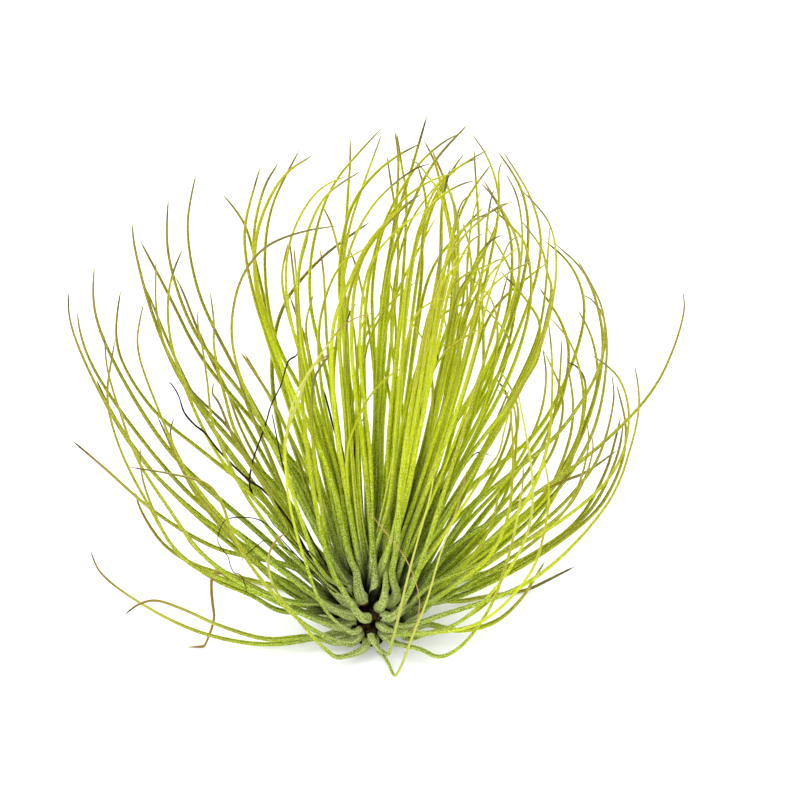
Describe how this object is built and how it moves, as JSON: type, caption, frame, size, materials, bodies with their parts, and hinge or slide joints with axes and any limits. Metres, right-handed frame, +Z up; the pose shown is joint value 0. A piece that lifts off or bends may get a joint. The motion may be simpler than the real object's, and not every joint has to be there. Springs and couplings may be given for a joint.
{
  "type": "air plant",
  "caption": "Thread-leaved air plant: a rosette of long, fine, arching leaves with swollen silvery sheaths on a short dark stem, resting on its stem foot and lowest leaves.",
  "frame": {"origin": "middle of the flat end of the stem, on the surface that the plant rests on", "axes": "+Z up along the stem; -Y towards the open front of the rosette, where it has the fewest leaves; +X to the right seen from the front"},
  "size_m": [0.1526, 0.122, 0.1433],
  "materials": {
    "leaf": "soft satin, silvery with fine scales at the foot, yellow-green above, grey-brown at the tip",
    "dry_leaf": "matt, dry, tan to dark brown",
    "stem": "matt, rough, dark brown"
  },
  "bodies": {
    "root": {"stem": "stem", "left_leaf_01": "leaf", "left_leaf_02": "leaf", "left_leaf_03": "leaf", "left_leaf_04": "leaf", "left_leaf_05": "leaf", "left_leaf_06": "leaf", "left_leaf_07": "leaf", "left_leaf_08": "leaf", "left_leaf_09": "leaf", "left_leaf_10": "leaf", "left_leaf_11": "leaf", "left_leaf_12": "leaf", "left_leaf_13": "leaf", "left_leaf_14": "leaf", "left_leaf_15": "leaf", "left_leaf_16": "leaf", "left_leaf_17": "leaf", "left_leaf_18": "leaf", "back_leaf_01": "leaf", "back_leaf_02": "leaf", "back_leaf_03": "leaf", "back_leaf_04": "leaf", "back_leaf_05": "leaf", "back_leaf_06": "leaf", "back_leaf_07": "leaf", "back_leaf_08": "leaf", "back_leaf_09": "leaf", "back_leaf_10": "leaf", "back_leaf_11": "leaf", "back_leaf_12": "leaf", "back_leaf_13": "leaf", "back_leaf_14": "leaf", "back_leaf_15": "leaf", "back_leaf_16": "leaf", "back_leaf_17": "leaf", "right_leaf_01": "leaf", "right_leaf_02": "leaf", "right_leaf_03": "leaf", "right_leaf_04": "leaf", "right_leaf_05": "leaf", "right_leaf_06": "leaf", "right_leaf_07": "leaf", "right_leaf_08": "leaf", "right_leaf_09": "leaf", "right_leaf_10": "leaf", "right_leaf_11": "leaf", "right_leaf_12": "leaf", "right_leaf_13": "leaf", "front_leaf_01": "leaf", "front_leaf_02": "leaf", "front_leaf_03": "leaf", "front_leaf_04": "leaf", "front_leaf_05": "leaf", "front_leaf_06": "leaf", "front_leaf_07": "leaf", "front_leaf_08": "leaf", "front_leaf_09": "leaf", "front_leaf_10": "leaf", "dry_leaf_01": "dry_leaf"}
  },
  "joints": []
}
